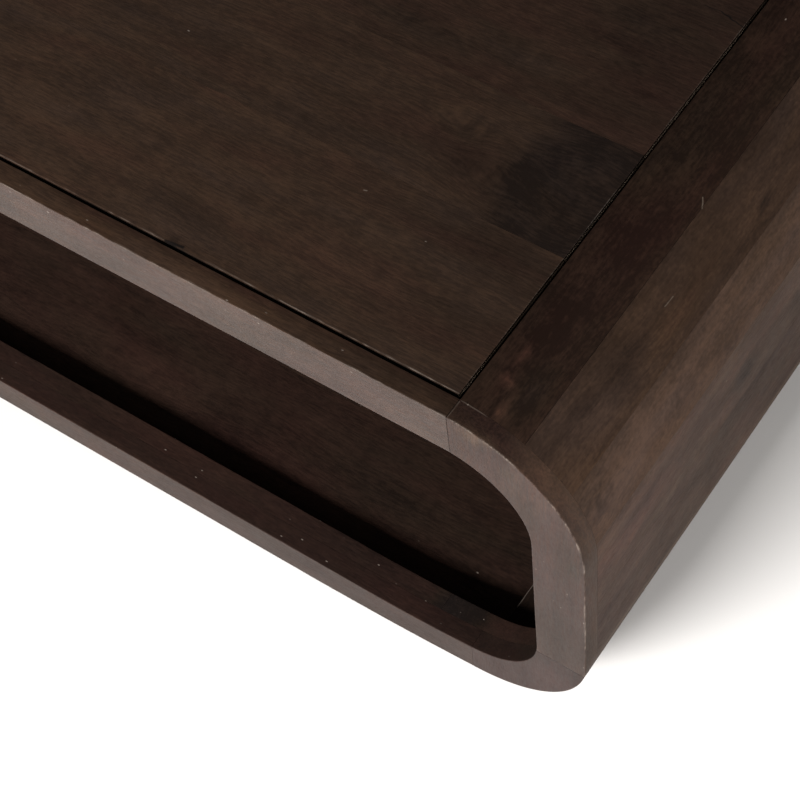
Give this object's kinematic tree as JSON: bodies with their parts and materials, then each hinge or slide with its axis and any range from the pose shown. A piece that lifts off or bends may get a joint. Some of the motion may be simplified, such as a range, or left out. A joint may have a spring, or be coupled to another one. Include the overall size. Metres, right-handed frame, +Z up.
{
  "type": "coffee table",
  "caption": "Low rounded box coffee table of dark stained hardwood boards, open at the front and the back, with an inset top panel and an open shelf inside.",
  "frame": {"origin": "on the floor, under the middle of the table", "axes": "+X along the table's length, to the right seen from the front; +Y from the front to the back; +Z up"},
  "size_m": [1.2, 0.7, 0.4],
  "materials": {
    "top_boards": "dark brown stained open-grained hardwood, satin lacquer",
    "end_wall_staves": "dark brown stained hardwood staves, satin lacquer",
    "ring_outer_layer": "brown stained hardwood, sanded edges, satin lacquer",
    "ring_inner_layer": "dark brown stained hardwood, satin lacquer",
    "floor_boards": "dark brown stained hardwood, satin lacquer",
    "hidden_battens": "dark stained hardwood, sawn and sanded",
    "screws": "zinc plated steel",
    "nails": "bright steel",
    "glides": "dark brown moulded plastic"
  },
  "bodies": {
    "root": {"back_bottom_rail": "ring_outer_layer", "back_inner_bottom_rail": "ring_inner_layer", "back_inner_top_rail": "ring_inner_layer", "back_left_inner_lower_corner": "ring_inner_layer", "back_left_inner_upper_corner": "ring_inner_layer", "back_left_lower_corner": "ring_outer_layer", "back_left_upper_corner": "ring_outer_layer", "back_right_inner_lower_corner": "ring_inner_layer", "back_right_inner_upper_corner": "ring_inner_layer", "back_right_lower_corner": "ring_outer_layer", "back_right_upper_corner": "ring_outer_layer", "back_top_rail": "ring_outer_layer", "floor_board_1": "floor_boards", "floor_board_2": "floor_boards", "floor_board_3": "floor_boards", "floor_board_4": "floor_boards", "floor_board_5": "floor_boards", "floor_screws": "screws", "front_bottom_rail": "ring_outer_layer", "front_inner_bottom_rail": "ring_inner_layer", "front_inner_top_rail": "ring_inner_layer", "front_left_inner_lower_corner": "ring_inner_layer", "front_left_inner_upper_corner": "ring_inner_layer", "front_left_lower_corner": "ring_outer_layer", "front_left_upper_corner": "ring_outer_layer", "front_right_inner_lower_corner": "ring_inner_layer", "front_right_inner_upper_corner": "ring_inner_layer", "front_right_lower_corner": "ring_outer_layer", "front_right_upper_corner": "ring_outer_layer", "front_top_rail": "ring_outer_layer", "glide_nails": "nails", "glide_pads": "glides", "left_end_rail": "hidden_battens", "left_stave_1": "end_wall_staves", "left_stave_2": "end_wall_staves", "left_stave_3": "end_wall_staves", "left_stave_4": "end_wall_staves", "left_stave_5": "end_wall_staves", "left_stave_6": "end_wall_staves", "left_stave_7": "end_wall_staves", "left_stave_8": "end_wall_staves", "right_end_rail": "hidden_battens", "right_stave_1": "end_wall_staves", "right_stave_2": "end_wall_staves", "right_stave_3": "end_wall_staves", "right_stave_4": "end_wall_staves", "right_stave_5": "end_wall_staves", "right_stave_6": "end_wall_staves", "right_stave_7": "end_wall_staves", "right_stave_8": "end_wall_staves", "top_batten_1": "hidden_battens", "top_batten_2": "hidden_battens", "top_batten_3": "hidden_battens", "top_board_1": "top_boards", "top_board_2": "top_boards", "top_board_3": "top_boards", "top_board_4": "top_boards", "top_board_5": "top_boards", "top_screws": "screws"}
  },
  "joints": []
}
